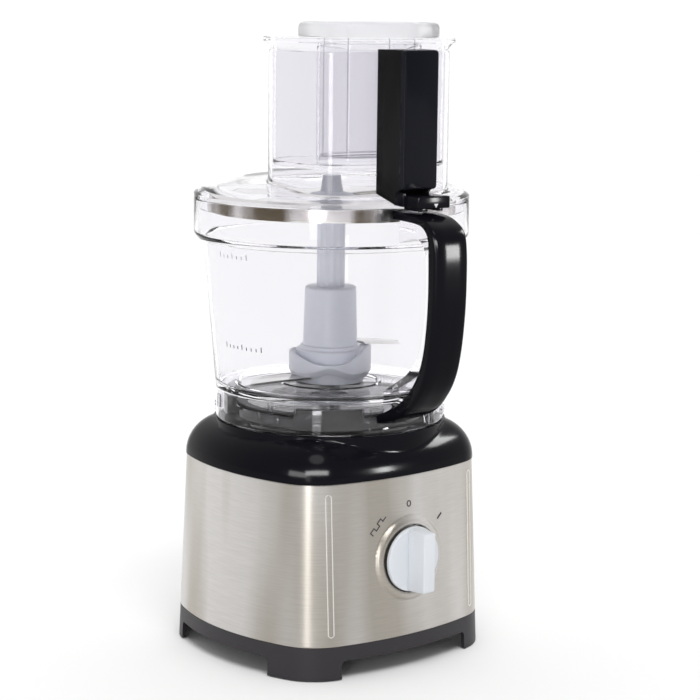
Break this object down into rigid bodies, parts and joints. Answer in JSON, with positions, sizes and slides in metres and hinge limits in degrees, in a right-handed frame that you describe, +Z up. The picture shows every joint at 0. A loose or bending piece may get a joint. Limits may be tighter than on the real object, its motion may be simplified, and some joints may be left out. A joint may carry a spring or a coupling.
{
  "type": "food processor",
  "caption": "Food processor with a belt-driven steel base and dial, clear bowl with handle, S blades, slicing disc, and a lid with feed chute and nested pushers.",
  "frame": {"origin": "on the surface the feet stand on, under the bowl's axis", "axes": "+Z up along the bowl and spindle axis, -Y to the front with the dial, +X to the viewer's right at the front"},
  "size_m": [0.1898, 0.2348, 0.43],
  "materials": {
    "brushed_steel": "brushed sideways",
    "blade_steel": "polished",
    "gloss_black": "high gloss",
    "dark_grey_plastic": "fine grain",
    "light_grey_plastic": "satin",
    "clear_plastic": "clear, polished",
    "frosted_plastic": "frosted",
    "white_mark": "printed",
    "rubber": "matt",
    "machined_steel": "turned",
    "zinc_steel": "plated",
    "core_steel": "laminated",
    "copper": "enamelled wire",
    "board_green": "solder mask",
    "belt_rubber": "ribbed",
    "black_plastic": "moulded"
  },
  "bodies": {
    "base": {"steel_band": "brushed_steel", "upper_housing": "gloss_black", "base_skirt": "dark_grey_plastic", "rubber_feet": "rubber", "rotary_switch": "black_plastic", "control_board": "board_green", "motor_plate": "zinc_steel", "plate_screws": "zinc_steel", "spindle_lower_bearing": "machined_steel", "spindle_upper_bearing": "machined_steel", "motor_lower_bearing": "machined_steel", "motor_upper_bearing": "machined_steel", "stator_stack": "core_steel", "field_coils": "copper", "motor_bracket": "zinc_steel", "brush_holders": "black_plastic", "drive_belt": "belt_rubber", "inlet_gland": "black_plastic", "safety_switch": "black_plastic"},
    "dial": {"dial_knob": "light_grey_plastic", "switch_shaft": "machined_steel"},
    "spindle": {"drive_spindle": "machined_steel", "driven_pulley": "black_plastic"},
    "motor_rotor": {"motor_shaft": "machined_steel", "armature_core": "core_steel", "armature_windings": "copper", "commutator": "copper", "cooling_fan": "black_plastic", "motor_pulley": "machined_steel"},
    "blade_assembly": {"drive_stem": "light_grey_plastic", "blade_hub": "light_grey_plastic", "lower_blade": "blade_steel", "upper_blade": "blade_steel", "slicing_disc": "blade_steel", "disc_cutter": "blade_steel", "disc_hub": "light_grey_plastic"},
    "lock_ring": {"lock_ring": "black_plastic"},
    "bowl": {"bowl": "clear_plastic", "handle_cover": "gloss_black", "handle_core": "clear_plastic"},
    "lid": {"lid": "clear_plastic", "lock_housing": "gloss_black", "lock_mark": "white_mark"},
    "lid_lock_rod": {"lid_lock_rod": "black_plastic"},
    "large_pusher": {"large_pusher": "clear_plastic"},
    "small_pusher": {"small_pusher": "frosted_plastic"}
  },
  "joints": [
    {"name": "dial_turn", "type": "hinge", "parent": "base", "child": "dial", "pos_m": [0, -0.0876, 0.0756], "axis": [0, 1, 0], "range_deg": [-50, 50]},
    {"name": "spindle_spin", "type": "hinge", "parent": "base", "child": "spindle", "pos_m": [0, 0, 0.1], "axis": [0, 0, 1], "continuous": true},
    {"name": "motor_spin", "type": "hinge", "parent": "base", "child": "motor_rotor", "pos_m": [0, 0.048, 0.1], "axis": [0, 0, 1], "continuous": true},
    {"name": "bowl_turn", "type": "hinge", "parent": "base", "child": "lock_ring", "pos_m": [0, 0, 0.18], "axis": [0, 0, 1], "range_deg": [0, 15]},
    {"name": "bowl_lift", "type": "slide", "parent": "lock_ring", "child": "bowl", "axis": [0, 0, 1], "range_m": [0, 0.13]},
    {"name": "blade_lift", "type": "slide", "parent": "spindle", "child": "blade_assembly", "axis": [0, 0, 1], "range_m": [0, 0.13]},
    {"name": "lid_lift", "type": "slide", "parent": "bowl", "child": "lid", "axis": [0, 0, 1], "range_m": [0, 0.06]},
    {"name": "lid_rod_press", "type": "slide", "parent": "lid", "child": "lid_lock_rod", "axis": [0, 0, 1], "range_m": [-0.004, 0], "stiffness_N_per_m": 60, "springref_m": 0.002},
    {"name": "large_push", "type": "slide", "parent": "lid", "child": "large_pusher", "axis": [0, 0, 1], "range_m": [0, 0.08]},
    {"name": "small_push", "type": "slide", "parent": "large_pusher", "child": "small_pusher", "axis": [0, 0, 1], "range_m": [0, 0.07]}
  ],
  "couplings": [
    {"joint": "motor_spin", "follows": "spindle_spin", "ratio": 4},
    {"joint": "blade_lift", "follows": "bowl_lift", "ratio": 1}
  ]
}
